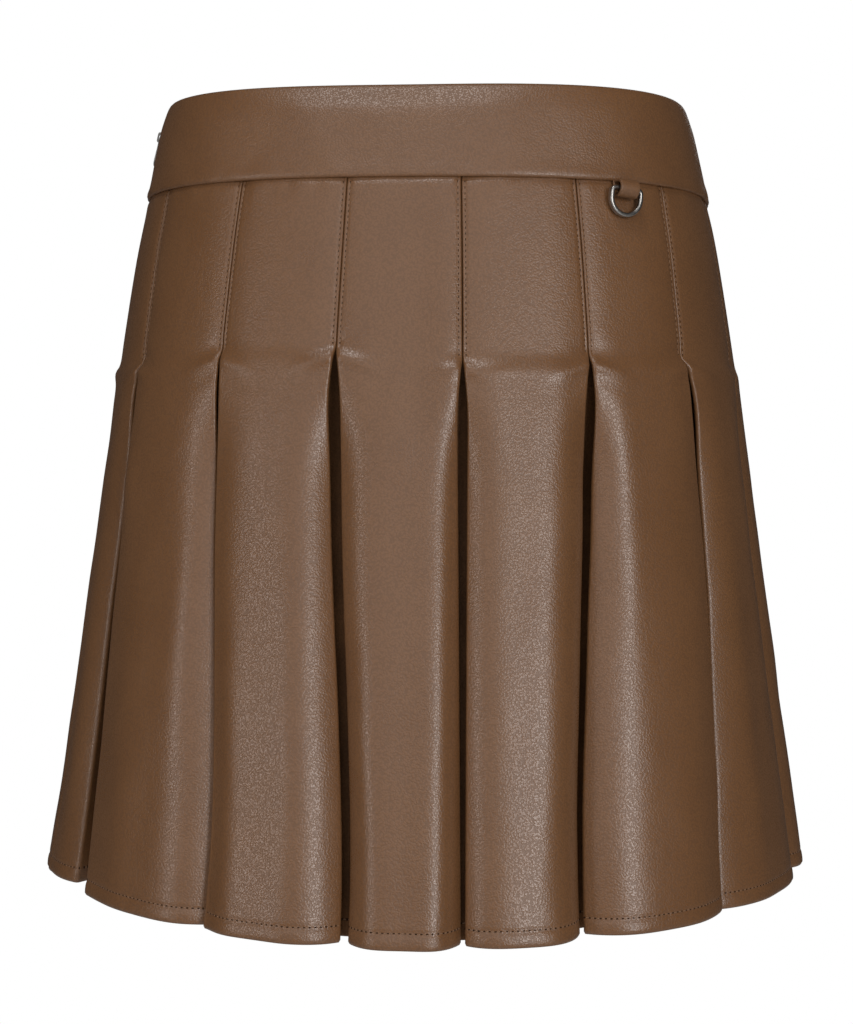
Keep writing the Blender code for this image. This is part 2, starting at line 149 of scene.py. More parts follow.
THREAD = {"radius": 0.2, "sides": 6, "rise": 0.24, "sunk": 0.16, "flatness": 0.8}

# How strongly each face puffs out under its stitching, left side to right side and then round the back
PUFFS = (0.6, 0.8, 0.35, 0.3, 1.35, 0.9, 0.8, 0.7, 1.0, 0.7, 1.2, 0.9, 0.8, 1.3, 0.7, 0.9)

# Soft ridges and troughs in the faces: where, how far they spread and how far they stand out. Across is a
# share of half the face's width, from its middle, and below is the distance under the stitching.
Fold = namedtuple("Fold", "across below wide long out slant")
FOLDS = (
    [(-0.05, 190, 1.7, 130, 0.6, 0.02), (0.3, 120, 10, 90, 0.8, 0.03)],
    [
        (-0.78, 55, 7, 20, 1.5, 0.10), (-0.15, 200, 14, 80, 1.8, 0.05), (0.55, 130, 9, 80, 0.9, -0.06),
        (1, 220, 9, 150, -2.2, 0),
    ],
    [
        (0.38, 170, 9, 120, 1.1, -0.03), (-1, 210, 10, 150, -4, 0), (-0.62, 190, 8, 100, 0.7, 0.02),
        (-0.1, 60, 12, 40, 0.4, 0.06),
    ],
    [(0.74, 130, 10, 170, 3, -0.02), (-0.62, 170, 8, 90, 0.8, 0.04), (0.05, 40, 9, 24, 0.35, 0.10)],
    [(0.34, 150, 12, 150, 1.5, -0.02), (-0.55, 110, 9, 80, 0.4, 0.05)],
    [(-0.5, 70, 8, 70, 0.9, 0.05), (-0.2, 190, 15, 120, 1.6, -0.05), (0.35, 215, 17, 110, 3, -0.03)],
    [(-0.4, 180, 9, 80, 1.2, 0.04), (0.3, 60, 10, 45, 0.6, 0.08)],
    [(0.3, 100, 9, 70, 0.7, -0.05)],
    [(-0.4, 140, 8, 90, 0.8, 0.05)],
    [(0.45, 110, 9, 80, 0.7, -0.04)],
    [(-0.5, 90, 8, 60, 0.8, 0.08), (0.4, 170, 9, 60, 0.5, 0)],
    [(0, 120, 11, 90, -0.6, 0.03)],
    [(0.5, 130, 8, 100, 0.8, -0.05)],
    [(-0.45, 100, 9, 70, 0.6, 0.06)],
    [(0.2, 150, 10, 80, 0.7, 0)],
    [(-0.3, 90, 9, 60, 0.7, 0.07)],
)

# Bands of rows down the leather: from, to, rows
ROW_BANDS = (
    (0.8, -8, 8), (-8, -66, 16), (-66, -104, 26),
    (-104, -140, 11), (-140, -318, 27), (-318, -331, 13),
)


def curve(points, x):
    """The smooth curve through (x, y) points in rising x."""
    places = [p[0] for p in points]
    last = len(points) - 1
    start = min(max(int(np.searchsorted(places, x, side="right")) - 1, 0), last - 1)

    def slope(index):
        low, high = points[max(index - 1, 0)], points[min(index + 1, last)]
        return (high[1] - low[1]) / (high[0] - low[0])

    (x0, y0), (x1, y1) = points[start], points[start + 1]
    step = x1 - x0
    t = (x - x0) / step
    ease_in = t * (1 - t) ** 2 * slope(start) * step
    ease_out = t * t * (t - 1) * slope(start + 1) * step
    return (2 * t + 1) * (1 - t) ** 2 * y0 + t * t * (3 - 2 * t) * y1 + ease_in + ease_out


def eased(t):
    """0 to 1 with level ends."""
    t = np.clip(t, 0, 1)
    return t * t * (3 - 2 * t)


def between(low, high, t):
    return low + (high - low) * t


def hump(x, width):
    """A smooth bump, 1 in the middle and fading over its width."""
    return np.exp(-((x / width) ** 2))


def ripple(x, wavelength, seed):
    """An uneven wave along x, between about -1 and 1."""
    k = 2 * math.pi / wavelength
    waves = ((1, 0.55, 1.3), (1.63, 0.3, 2.1), (0.41, 0.35, 4.7), (2.71, 0.15, 0.6))
    return sum(size * np.sin(k * rate * x + shift * (seed + 1.7)) for rate, size, shift in waves)


SIDES = ("front", "back")


class Outline:
    """The skirt's outline at one height. An arc is a distance round it from the centre front, towards +X."""

    STEPS = 400

    def __init__(self, height):
        heights, *columns = zip(*SECTIONS)
        sizes = [curve(list(zip(heights, column)), height) for column in columns]
        self.half_width, *depths, self.power = sizes
        self.height = height
        self.lift = SIDE_LIFT * (min(height, 0.0) / SKIRT_LENGTH) ** 2
        angle = np.linspace(0.0, math.pi / 2, self.STEPS + 1)
        across, deep = (np.clip(wave(angle), 0, 1) ** (2 / self.power) for wave in (np.sin, np.cos))
        self.x = self.half_width * across
        self.depths = dict(zip(SIDES, depths))
        self.y = {side: self.depths[side] * deep for side in SIDES}
        self.arcs, self.length = {}, {}
        for side in SIDES:
            steps = np.hypot(np.diff(self.x), np.diff(self.y[side]))
            self.arcs[side] = np.concatenate(([0.0], np.cumsum(steps)))
            self.length[side] = self.arcs[side][-1]
        self.half_round = sum(self.length.values())

    def arc(self, share):
        """The arc at a share; past the centre back it goes on rising."""
        if share > 2:
            return 2 * self.half_round - self.arc(4 - share)
        size = min(abs(share), 1.0) * self.length["front"] + max(abs(share) - 1, 0.0) * self.length["back"]
        return math.copysign(size, share)

    def points(self, arcs, out):
        """Points at arcs, moved out from the outline: an array of x, y, z."""
        arcs = (np.asarray(arcs, float) + self.half_round) % (2 * self.half_round) - self.half_round
        distance = np.abs(arcs)
        in_front = distance <= self.length["front"]
        along = {"front": distance, "back": self.half_round - distance}

        def at(values):
            found = [np.interp(along[side], self.arcs[side], values[side]) for side in SIDES]
            return np.where(in_front, *found)

        x, y = at(dict.fromkeys(SIDES, self.x)), at(self.y)
        whole = np.where(in_front, *self.depths.values())
        normal_x = (x / self.half_width) ** (self.power - 1) / self.half_width
        normal_y = (y / whole) ** (self.power - 1) / whole
        size = np.hypot(normal_x, normal_y)
        side, facing = np.where(arcs < 0, -1.0, 1.0), np.where(in_front, -1.0, 1.0)
        z = SEAM_Z + self.height + self.lift * (x / self.half_width) ** 2
        moved_out = (side * (x + out * normal_x / size), facing * (y + out * normal_y / size), z)
        return np.stack(moved_out, axis=-1)


# ---- the pleated leather
POINTS = {"back": 4, "inner_fold": 5, "flap": 4, "outer_fold": 8}
ON_FOLD = 3  # the outer fold's last points, counted with the face
SHOWN_ABOVE = 0.5  # the share of the relief from which a point counts as shown; where points aren't shown the outer face is darker leather, painted shade for the inside of the pleats


def pleat_at(pleat, ring):
    """A pleat's state at a ring's height."""
    below = -ring.height - pleat.stitched
    open_length = SKIRT_LENGTH - pleat.stitched
    to_hem = max(below, 0.0) / open_length
    first = 1 - (1 - min(max(below, 0.0) / FIRST_OPENING, 1.0)) ** OPENING_SHAPE
    rest = max((below - FIRST_OPENING) / (open_length - FIRST_OPENING), 0.0)
    opening = (eased(below / HALF_DROP) + to_hem) / 2
    share = between(pleat.waist, pleat.hem, eased(to_hem))
    share += pleat.bow * math.sin(math.pi * to_hem**BOW_SHAPE)
    rounded = between(to_hem, eased(below / FOLD_GROWTH["outer"]), EARLY_GROWTH)
    return SimpleNamespace(
        arc=ring.arc(share),
        below=below,
        gap=between(between(STITCHED["gap"], pleat.first_gap, first), pleat.hem_gap, rest),
        before=between(STITCHED["drop"], pleat.drop_before, opening),
        after=between(STITCHED["drop"], pleat.drop_after, opening),
        depth=between(FOLD_DEPTH, pleat.depth, to_hem),
        outer=between(STITCHED_FOLD, HEM_FOLD["outer"], rounded),
        inner=between(STITCHED_FOLD, HEM_FOLD["inner"], eased(below / FOLD_GROWTH["inner"])),
    )


def pleat_inside(pleat):
    """How far in a pleat's back layer lies. Folding keeps the leather's length, so it sinks as it opens."""
    swing = math.sqrt(pleat.depth**2 - max(pleat.depth - pleat.gap, 0.0) ** 2)
    swing += UNDERLAY_SAG * eased(pleat.below / SAG_LENGTH)
    drops = (pleat.before, pleat.after)
    return max(sum(drops) / 2 + swing, max(drops) + 2 * pleat.outer + 2 * pleat.inner)


def folded_side(pleat, drop, slope, start):
    """One side of a pleat, from its back layer round two folds to the face's edge: points (along, out) and
    each one's share of the face's relief."""
    outer, inner, inside = pleat.outer, pleat.inner, pleat_inside(pleat)
    nose = pleat.gap + LEATHER / 2
    centre_in = np.array((pleat.depth - inner, -inside + inner))
    edge = np.array((nose + outer * (1 - math.sin(slope)), -drop))
    centre_out = edge + outer * np.array((math.sin(slope), -math.cos(slope)))
    span = centre_out - centre_in
    reach = math.hypot(*span)
    tilt = math.pi - math.asin(min((outer + inner) / reach, 1.0)) - math.atan2(span[1], span[0])
    along = np.linspace(start, centre_in[0], POINTS["back"], endpoint=False)
    pieces = [np.stack((along, np.full_like(along, -inside)), axis=1)]
    turn = np.linspace(0.0, math.pi - tilt, POINTS["inner_fold"])
    pieces.append(centre_in + inner * np.stack((np.sin(turn), -np.cos(turn)), axis=1))
    turn = np.linspace(math.pi - tilt, slope, POINTS["outer_fold"])
    fold = centre_out + outer * np.stack((-np.sin(turn), np.cos(turn)), axis=1)
    share = np.linspace(0, 1, POINTS["flap"] + 2)[1:-1, None]
    pieces.append(between(pieces[-1][-1], fold[0], share))
    pieces.append(fold)
    behind = np.zeros(POINTS["back"] + POINTS["inner_fold"])
    on_fold = np.linspace(FLAP_RELIEF, 1.0, POINTS["outer_fold"])
    return np.concatenate(pieces), np.concatenate((behind, eased(share[:, 0]) * FLAP_RELIEF, on_fold))


def face_shares(count):
    """Places across a face from -1 to 1, closer together towards its edges."""
    even = np.linspace(-1, 1, count + 2)[1:-1]
    return between(even, np.sin(even * math.pi / 2), EDGE_CROWDING)


def stitched_relief(below, distance):
    """The leather beside a pleat's seam: pulled in by the seam and by the row of stitches beside it."""
    held = 1 - eased((below + 3.0) / 5.0)
    pulled = 0.45 * hump(distance, 6.0) + 0.40 * hump(distance - STITCH_ROW["from_seam"], 0.7)
    return -held * pulled


def release_relief(below, distance, seed):
    """The pucker where a pleat's stitching ends: the leather dips to it and springs out under it, with a
    fine ridge running down and away from it."""
    dip = -0.55 * hump(below + 3.0, 4.0) * hump(distance, 9.0)
    rise = eased((below + 0.5) / 6.0) * (1 - eased((below - 6.0) / 46.0))
    spring = 1.2 * rise * hump(distance, 13.0 + 4.0 * math.sin(2.3 * seed))
    fade = eased(distance / 2.5) * hump(distance, 13.0 + 5.0 * math.sin(4.1 * seed + 1.0))
    ridge = 0.9 * hump(below - 0.34 * distance - 2.6, 2.5) * fade
    trough = -0.25 * hump(below - 0.5 * distance - 8.0, 3.2) * fade
    return dip + spring + ridge + trough


def fold_relief(face, across, width, under):
    """The ridges and troughs laid in one face; across runs from -1 to 1 over its width."""
    out = np.zeros_like(across)
    for fold in (Fold(*sizes) for sizes in FOLDS[face]):
        off = (across - fold.across) * width / 2 - fold.slant * (under - fold.below)
        out += fold.out * hump(off, fold.wide) * hump(under - fold.below, fold.long)
    return out


def waist_relief(down, arcs):
    """The leather drawn in along the waist seam, with small gathers just below it."""
    drawn_in = 0.6 * hump(down + 0.2, 1.7) + 0.2 * hump(down, 8.0) * (1 + 0.8 * ripple(arcs, 34.0, 1))
    gathers = hump(down - 3.0, 4.5) * ripple(arcs, 19.0, 2) * (0.6 + 0.4 * ripple(arcs, 83.0, 3))
    return 0.32 * gathers - drawn_in


def slow_relief(down, arcs, loose):
    """The soft leather's slow unevenness, stronger where it hangs loose."""
    waves = ripple(arcs + 0.15 * down, 58.0, 4) * ripple(down + 0.3 * arcs, 145.0, 5)
    return (0.10 + 0.30 * loose) * waves + 0.14 * loose * ripple(down - 0.4 * arcs, 74.0, 6)


def hem_relief(up, arcs):
    """The hem's full edge, and the groove and puckers along its stitches."""
    puckers = 0.12 * hump(up - HEM_TURN, 2.5) * ripple(arcs, 9.0, 7)
    return 0.28 * np.clip(1 - ((up - 3.3) / 3.3) ** 2, 0, 1) - 0.34 * hump(up - HEM_TURN, 0.8) + puckers


def relief(face, height, arcs, distances, belows):
    """How far the leather stands out from its plain form, for a row of points on a face: distances are
    those from the seams on either side, and belows how far each seam's release is above this row."""
    out = np.zeros_like(arcs)
    for side, (distance, below) in enumerate(zip(distances, belows)):
        out += stitched_relief(below, distance) + release_relief(below, distance, face + side)
    width = float(np.max(distances[0] + distances[1]))
    across = (distances[0] - distances[1]) / width
    under = sum(belows) / 2
    puff = eased((under + 2.0) / 9.0) * (1 - eased((under - 10.0) / 90.0)) + 0.3 * hump(under - 3.5, 4.0)
    out += PUFFS[face] * puff * eased(np.minimum(*distances) / 16.0)
    out += fold_relief(face, across, width, under) + slow_relief(-height, arcs, eased(under / 60.0))
    return out + waist_relief(-height, arcs) + hem_relief(SKIRT_LENGTH + height, arcs)


def panel_row(height, first, last, face_points):
    """One row of a panel between two numbered pleats: its points and their arcs, the first and last point
    on each face, the seams' arcs, and which points aren't tucked away behind a face."""
    ring = Outline(min(height, 0.0))
    pleats = [pleat_at(pleat, ring) for pleat in PLEATS[first : last + 1]]
    shares = face_shares(face_points)
    arcs, outs, shown, faces = [], [], [], []
    for index, pleat in enumerate(pleats[:-1]):
        following = pleats[index + 1]
        width = following.arc - pleat.arc
        half = (width - pleat.gap - following.gap) / 2
        folded = []
        for side, drop, at_end in (
            (pleat, pleat.after, index == 0),
            (following, following.before, index == len(pleats) - 2),
        ):
            slope = math.atan(FACE_ROUNDNESS * drop / half)
            folded.append(folded_side(side, drop, slope, SEWN_GAP / 2 if at_end else 0.0))
        (left, left_weight), (right, right_weight) = folded
        if index > 0:
            left, left_weight = left[1:], left_weight[1:]
        place = between(pleat.arc + left[-1][0], following.arc - right[-1][0], (shares + 1) / 2)
        drop = np.where(shares < 0, pleat.after, following.before) * np.abs(shares) ** FACE_ROUNDNESS
        arcs_here = np.concatenate((pleat.arc + left[:, 0], place, following.arc - right[::-1, 0]))
        out_here = np.concatenate((left[:, 1], -drop, right[::-1, 1]))
        weight = np.concatenate((left_weight, np.ones_like(shares), right_weight[::-1]))
        offsets = (arcs_here - pleat.arc, following.arc - arcs_here)
        distances = [np.maximum(offset, 0.0) for offset in offsets]
        belows = (pleat.below, following.below)
        out_here = out_here + weight * relief(first + index, height, arcs_here, distances, belows)
        start = sum(len(part) for part in arcs)
        faces.append((start + len(left) - ON_FOLD, start + len(arcs_here) - len(right) + ON_FOLD))
        arcs.append(arcs_here)
        outs.append(out_here)
        shown.append(weight > SHOWN_ABOVE)
    arcs, outs = np.concatenate(arcs), np.concatenate(outs)
    points = ring.points(arcs, outs + LEATHER_OUT)
    points[:, 2] += max(height, 0.0)
    seams = [pleat.arc for pleat in pleats]
    return {"points": points, "arcs": arcs, "faces": faces, "seams": seams, "shown": np.concatenate(shown)}


def rows_of_heights():
    heights = []
    for start, end, count in ROW_BANDS:
        heights += list(np.linspace(start, end, count, endpoint=False))
    return heights + [ROW_BANDS[-1][1]]


# ---- meshes from grids
def unit(vectors):
    """Vectors along the last axis, made 1 long."""
    return vectors / np.maximum(np.linalg.norm(vectors, axis=-1, keepdims=True), 1e-9)


def grid_normals(grid):
    """Unit normals of a grid of points, facing the side on which rows run down as columns run right."""
    return unit(np.cross(np.gradient(grid, axis=0), np.gradient(grid, axis=1)))


def grid_quads(rows, columns, start=0, wrap=False):
    row = np.arange(rows - 1)[:, None]
    column = np.arange(columns if wrap else columns - 1)[None, :]
    after = (column + 1) % columns
    below = row + 1
    corners = [r * columns + c for r, c in ((row, column), (below, column), (below, after), (row, after))]
    return np.stack([corner.ravel() for corner in corners], axis=1) + start


def tube_faces(loops, count, start=0):
    """The quads round a row of loops, and the two faces that close its ends."""
    last = start + (loops - 1) * count
    caps = [list(range(start, start + count)), list(reversed(range(last, last + count)))]
    return grid_quads(loops, count, start, wrap=True).tolist() + caps


def placed(name, data):
    """A new object in the scene."""
    made = bpy.data.objects.new(name, data)
    bpy.context.scene.collection.objects.link(made)
    return made


def mesh_object(name, points, faces, materials, material_index=None):
    """A smooth object from points in millimetres and faces."""
    mesh = bpy.data.meshes.new(name)
    mesh.from_pydata((np.asarray(points) * MM).tolist(), [], [list(face) for face in faces])
    for material in materials:
        mesh.materials.append(material)
    if material_index is not None:
        mesh.polygons.foreach_set("material_index", np.asarray(material_index, dtype=np.int32))
    mesh.shade_smooth()
    mesh.update()
    return placed(name, mesh)


def shell(name, outer, inner, shown, materials):
    """A sheet of leather with thickness: its outer face, its inner face and the rim round its edge. The
    materials are those of the outer face, the inner face and the outer face where it isn't shown, the last a
    darker leather that is painted shade."""
    rows, columns = outer.shape[:2]
    count = rows * columns
    face = grid_quads(rows, columns)
    lining = grid_quads(rows, columns, count)[:, ::-1]
    top, left = np.arange(columns), np.arange(rows) * columns
    bottom, right = top + (rows - 1) * columns, left + columns - 1
    border = np.concatenate((top[:-1], right[:-1], bottom[:0:-1], left[:0:-1]))
    following = np.roll(border, -1)
    rim = np.stack((border, following, following + count, border + count), axis=1)
    # Faces not shown get the third material, darker leather that paints the shade inside the pleats
    tucked_painted_shade = np.tile(np.where(shown[:-1], 0, 2), rows - 1)
    index = np.concatenate((tucked_painted_shade, np.ones(len(lining)), np.zeros(len(rim))))
    points = np.concatenate((outer.reshape(-1, 3), inner.reshape(-1, 3)))
    return mesh_object(name, points, np.concatenate((face, lining, rim)), materials, index)


def outward_faces(made):
    """Turns a closed mesh's faces outwards."""
    model = bmesh.new()
    model.from_mesh(made.data)
    bmesh.ops.recalc_face_normals(model, faces=model.faces)
    model.to_mesh(made.data)
    model.free()
    made.data.shade_smooth()


def swept(name, sections, materials, closed_path=False):
    """A solid through loops of points; a closed path joins the last loop to the first."""
    sections = np.asarray(sections)
    loops, count = sections.shape[:2]
    faces = tube_faces(loops, count)
    if closed_path:
        faces = (grid_quads(loops + 1, count, wrap=True) % (loops * count)).tolist()
    made = mesh_object(name, sections.reshape(-1, 3), faces, materials)
    outward_faces(made)
    return made


def carried(name, path, normals, section, matrix, materials, closed_path=False):
    """A section of (high, wide) points carried along a flat path, high along its normals, in a frame."""
    sections = [
        [(x + across * high, y + up * high, wide) for high, wide in section]
        for (x, y), (across, up) in zip(path, normals)
    ]
    return swept(name, moved(sections, matrix), materials, closed_path)


def moved(points, matrix):
    """Points in a frame, moved to the skirt's."""
    return np.asarray(points) @ np.array(matrix.to_3x3()).T + np.array(matrix.translation)


# ---- materials
WHITE, BLACK = (1.0, 1.0, 1.0), (0.0, 0.0, 0.0)
DARK_LEATHER, LIGHT_LEATHER = (0.197, 0.089, 0.035), (0.217, 0.100, 0.040)
# Darker leather for the pleats' back layers and inner folds: painted shade for the inside of the deep
# pleats, the leather there being the same as outside
PAINTED_SHADE_LEATHER = (0.10, 0.046, 0.02)
ROUGHNESS = {"skirt": 0.33, "band": 0.37, "loop": 0.45, "fold": 0.5}
GRAIN = {"cells": 1050.0, "wander": 0.0009, "shading": 0.18, "dulling": 0.16, "depth": 0.0001}


class Nodes:
    """A material's node tree, with short ways to add and join nodes."""

    def __init__(self, name):
        self.material = bpy.data.materials.new(name)
        self.material.use_nodes = True
        self.tree = self.material.node_tree
        self.place = self.add("TexCoord").outputs["Object"]

    def fill(self, socket, value):
        """Joins an output to a socket, or sets the socket's own value."""
        if isinstance(value, bpy.types.NodeSocket):
            self.tree.links.new(value, socket)
        else:
            socket.default_value = value

    def fill_all(self, node, inputs):
        for key, value in inputs.items():
            self.fill(node.inputs[key.replace("_", " ")], value)

    def add(self, kind, **inputs):
        node = self.tree.nodes.new("ShaderNode" + kind)
        self.fill_all(node, inputs)
        return node

    def noise(self, scale, detail, output="Fac", **inputs):
        inputs.setdefault("Vector", self.place)
        return self.add("TexNoise", Scale=scale, Detail=detail, **inputs).outputs[output]

    def stretched(self, scale):
        return self.add("Mapping", Vector=self.place, Scale=scale).outputs[0]

    def ribs(self, scale, distortion, detail):
        """Slanting waves."""
        node = self.add("TexWave", Vector=self.place, Scale=scale, Distortion=distortion, Detail=detail)
        node.bands_direction = "DIAGONAL"
        return node.outputs["Fac"]

    def ramp(self, value, *stops):
        """The colour between two stops, each (place, colour)."""
        node = self.add("ValToRGB", Fac=value)
        for element, (place, colour) in zip(node.color_ramp.elements, stops):
            element.position, element.color = place, (*colour, 1.0)
        return node.outputs["Color"]

    def mix(self, blend, share, first, second):
        node = self.add("MixRGB", Fac=share, Color1=first, Color2=second)
        node.blend_type = blend
        return node.outputs[0]

    def maths(self, operation, first, second):
        node = self.add("Math")
        node.operation = operation
        for socket, value in zip(node.inputs, (first, second)):
            self.fill(socket, value)
        return node.outputs[0]

    def weighed(self, *pairs):
        """The sum of two values, each times its weight."""
        return self.maths("ADD", *[self.maths("MULTIPLY", value, weight) for value, weight in pairs])

    def bump(self, height, strength, depth, **inputs):
        return self.add("Bump", Height=height, Strength=strength, Distance=depth, **inputs).outputs["Normal"]

    def finish(self, **inputs):
        """Fills the shader's own inputs and gives the material."""
        self.fill_all(self.tree.nodes["Principled BSDF"], inputs)
        return self.material


def leather_material(name, dark, light, roughness, specular=0.7):
    """Satin leather with a fine pebble grain: smooth cells with duller creases between them, and pores."""
    nodes = Nodes(name)
    wander = nodes.noise(260.0, 2.0, "Color")
    bent = nodes.mix("LINEAR_LIGHT", GRAIN["wander"], nodes.place, wander)
    cells = nodes.add("TexVoronoi", Vector=bent, Scale=GRAIN["cells"]).outputs["Distance"]
    tops = nodes.ramp(cells, (0.35, WHITE), (0.7, BLACK))
    pores = nodes.noise(2600.0, 3.0, Roughness=0.6)
    patches = nodes.noise(34.0, 4.0, Roughness=0.55)
    streaks = nodes.noise(1.0, 3.0, Vector=nodes.stretched((140.0, 140.0, 26.0)))
    tone = nodes.weighed((patches, 0.75), (streaks, 0.25))
    colour = nodes.mix("MULTIPLY", GRAIN["shading"], nodes.ramp(tone, (0.3, dark), (0.7, light)), tops)
    grain = nodes.bump(nodes.weighed((tops, 1.0), (pores, 0.2)), 0.5, GRAIN["depth"])
    soft = nodes.bump(nodes.noise(95.0, 2.0), 0.25, 0.0006, Normal=grain)
    uneven = nodes.maths("SUBTRACT", patches, 0.5)
    dull = nodes.maths("SUBTRACT", 0.7, tops)
    rough = nodes.maths("ADD", roughness, nodes.weighed((uneven, 0.08), (dull, GRAIN["dulling"])))
    return nodes.finish(
        Base_Color=colour, Roughness=rough, Normal=soft, Specular_IOR_Level=specular, IOR=1.5
    )


def backing_material():
    """The knitted backing on the inside of the leather: a fine rib with a soft nap."""
    nodes = Nodes("leather_backing")
    knit = nodes.weighed((nodes.ribs(420.0, 1.5, 2.0), 0.5), (nodes.noise(1400.0, 3.0), 0.5))
    colour = nodes.ramp(knit, (0.25, (0.085, 0.05, 0.032)), (0.75, (0.17, 0.105, 0.07)))
    bump = nodes.bump(knit, 0.5, 0.0002)
    return nodes.finish(
        Base_Color=colour, Roughness=0.9, Normal=bump, Sheen_Weight=0.25, Sheen_Roughness=0.5
    )


def thread_material():
    """Polyester thread: twisted plies along each stitch."""
    nodes = Nodes("brown_thread")
    plies = nodes.ribs(900.0, 0.6, 2.0)
    colour = nodes.ramp(plies, (0.2, (0.17, 0.085, 0.042)), (0.8, (0.36, 0.2, 0.11)))
    bump = nodes.bump(plies, 0.6, 0.00008)
    return nodes.finish(Base_Color=colour, Roughness=0.55, Normal=bump, Sheen_Weight=0.15)


def twill_material():
    """The zip's tape: a close twill."""
    nodes = Nodes("zip_tape_twill")
    twill = nodes.weighed((nodes.ribs(760.0, 0.4, 1.0), 0.65), (nodes.noise(1800.0, 2.0), 0.35))
    colour = nodes.ramp(twill, (0.25, (0.05, 0.028, 0.018)), (0.75, (0.115, 0.066, 0.042)))
    bump = nodes.bump(twill, 0.6, 0.00015)
    return nodes.finish(Base_Color=colour, Roughness=0.8, Normal=bump, Sheen_Weight=0.2)


def metal_material(name, colour, roughness):
    """Plated metal: fine brushing, faint smudges and a slightly uneven plate."""
    nodes = Nodes(name)
    brushed = nodes.noise(1.0, 4.0, Vector=nodes.stretched((300.0, 300.0, 2600.0)))
    smudges = nodes.noise(240.0, 3.0)
    tint = nodes.ramp(smudges, (0.3, [0.72 * value for value in colour]), (0.65, colour))
    rough = nodes.maths("ADD", roughness - 0.06, nodes.maths("MULTIPLY", smudges, 0.14))
    bump = nodes.bump(brushed, 0.12, 0.00005)
    return nodes.finish(Base_Color=tint, Roughness=rough, Normal=bump, Metallic=1.0)


def mottled_material(name, scale, detail, dark, light, **inputs):
    """A plain surface with slightly uneven colour."""
    nodes = Nodes(name)
    colour = nodes.ramp(nodes.noise(scale, detail), (0.3, dark), (0.7, light))
    return nodes.finish(Base_Color=colour, **inputs)


def hole_shade_material():
    """The needle's holes: dark discs on the leather with little reflection, painted shade for the hollow of
    each hole, slightly mottled.
    """
    dark, light = (0.018, 0.008, 0.004), (0.045, 0.018, 0.008)
    return mottled_material("needle_hole_painted_shade", 3000.0, 2.0, dark, light, Roughness=0.9, Specular_IOR_Level=0.1)


def coil_material():
    """The nylon coil of the zip."""
    dark, light = (0.06, 0.033, 0.02), (0.11, 0.064, 0.04)
    return mottled_material("zip_coil_nylon", 900.0, 2.0, dark, light, Roughness=0.38)


def floor_material():
    dark, light = (0.86, 0.86, 0.86), (0.9, 0.9, 0.9)
    return mottled_material("pale_floor", 3.0, 3.0, dark, light, Roughness=0.9)


# ---- the panels and their stitching
class Panel:
    """A pleated panel between two numbered pleats, kept as grids so that stitching can be laid on it."""

    def __init__(self, name, first, last, face_points, materials):
        self.first = first
        self.heights = np.array(rows_of_heights())
        rows = [panel_row(height, first, last, face_points) for height in self.heights]
        self.middle, self.arcs, self.seams = (
            np.array([row[part] for row in rows]) for part in ("points", "arcs", "seams")
        )
        self.faces = rows[0]["faces"]
        self.normals = grid_normals(self.middle)
        to_edge = (SKIRT_LENGTH + self.heights)[:, None, None]
        into_hem = HEM_ALLOWANCE["height"] - to_edge
        turned = HEM_ALLOWANCE["thickness"] * eased(into_hem / HEM_ALLOWANCE["step"])
        rounded = HEM_EDGE["rounding"] * np.clip(1 - to_edge / HEM_EDGE["height"], 0, 1) ** 2
        self.outer = self.middle + self.normals * (LEATHER / 2 - rounded)
        self.inner = self.middle - self.normals * (LEATHER / 2 + turned - rounded)
        self.made = shell(name, self.outer, self.inner, rows[0]["shown"], materials)

    def on_face(self, face, height, right_seam):
        """A point on a face's outer surface, in the row beside its left or right seam, and its normal."""
        row = float(np.interp(-height, -self.heights, np.arange(len(self.heights))))
        low = min(int(row), len(self.heights) - 2)
        start, stop = self.faces[face]
        found = []
        for index in (low, low + 1):
            arcs = self.arcs[index, start:stop]
            seam, from_seam = self.seams[index, face + right_seam], STITCH_ROW["from_seam"]
            place = seam - from_seam if right_seam else seam + from_seam
            column = float(np.interp(place, arcs, np.arange(stop - start)))
            left = min(int(column), stop - start - 2)
            here, after = start + left, start + left + 1
            grids = (self.outer, self.normals)
            found.append([between(grid[index, here], grid[index, after], column - left) for grid in grids])
        return [between(upper, lower, row - low) for upper, lower in zip(*found)]

    def seam_rows(self):
        """The rows of stitches beside the pleats' seams: (point, normal) pairs down each row."""
        rows = []
        for face in range(len(self.faces)):
            for right_seam in (False, True):
                stitched = PLEATS[self.first + face + right_seam].stitched
                count = int((stitched - STITCH_ROW["bottom"]) / STITCH_ROW["pitch"])
                heights = -STITCH_ROW["top"] - STITCH_ROW["pitch"] * np.arange(count + 1)
                rows.append([self.on_face(face, height, right_seam) for height in heights])
        return rows

    def hem_rows(self):
        """The hem's stitches, round the folds as they were sewn before pleating, outside and inside."""
        index = int(np.argmin(np.abs(self.heights + SKIRT_LENGTH - HEM_TURN)))
        rows = []
        for grid, facing in ((self.outer, 1.0), (self.inner, -1.0)):
            line, normals = grid[index], self.normals[index] * facing
            steps = np.linalg.norm(np.diff(self.middle[index], axis=0), axis=1)
            lengths = np.concatenate(([0.0], np.cumsum(steps)))
            places = np.arange(HEM_PITCH, lengths[-1] - HEM_PITCH, HEM_PITCH)
            points, facings = (
                np.stack([np.interp(places, lengths, values[:, k]) for k in range(3)], axis=1)
                for values in (line, normals)
            )
            rows.append(list(zip(points, facings)))
        return rows


def circle(sides):
    turns = 2 * math.pi * np.arange(sides) / sides
    return np.stack((np.cos(turns), np.sin(turns)), axis=1)


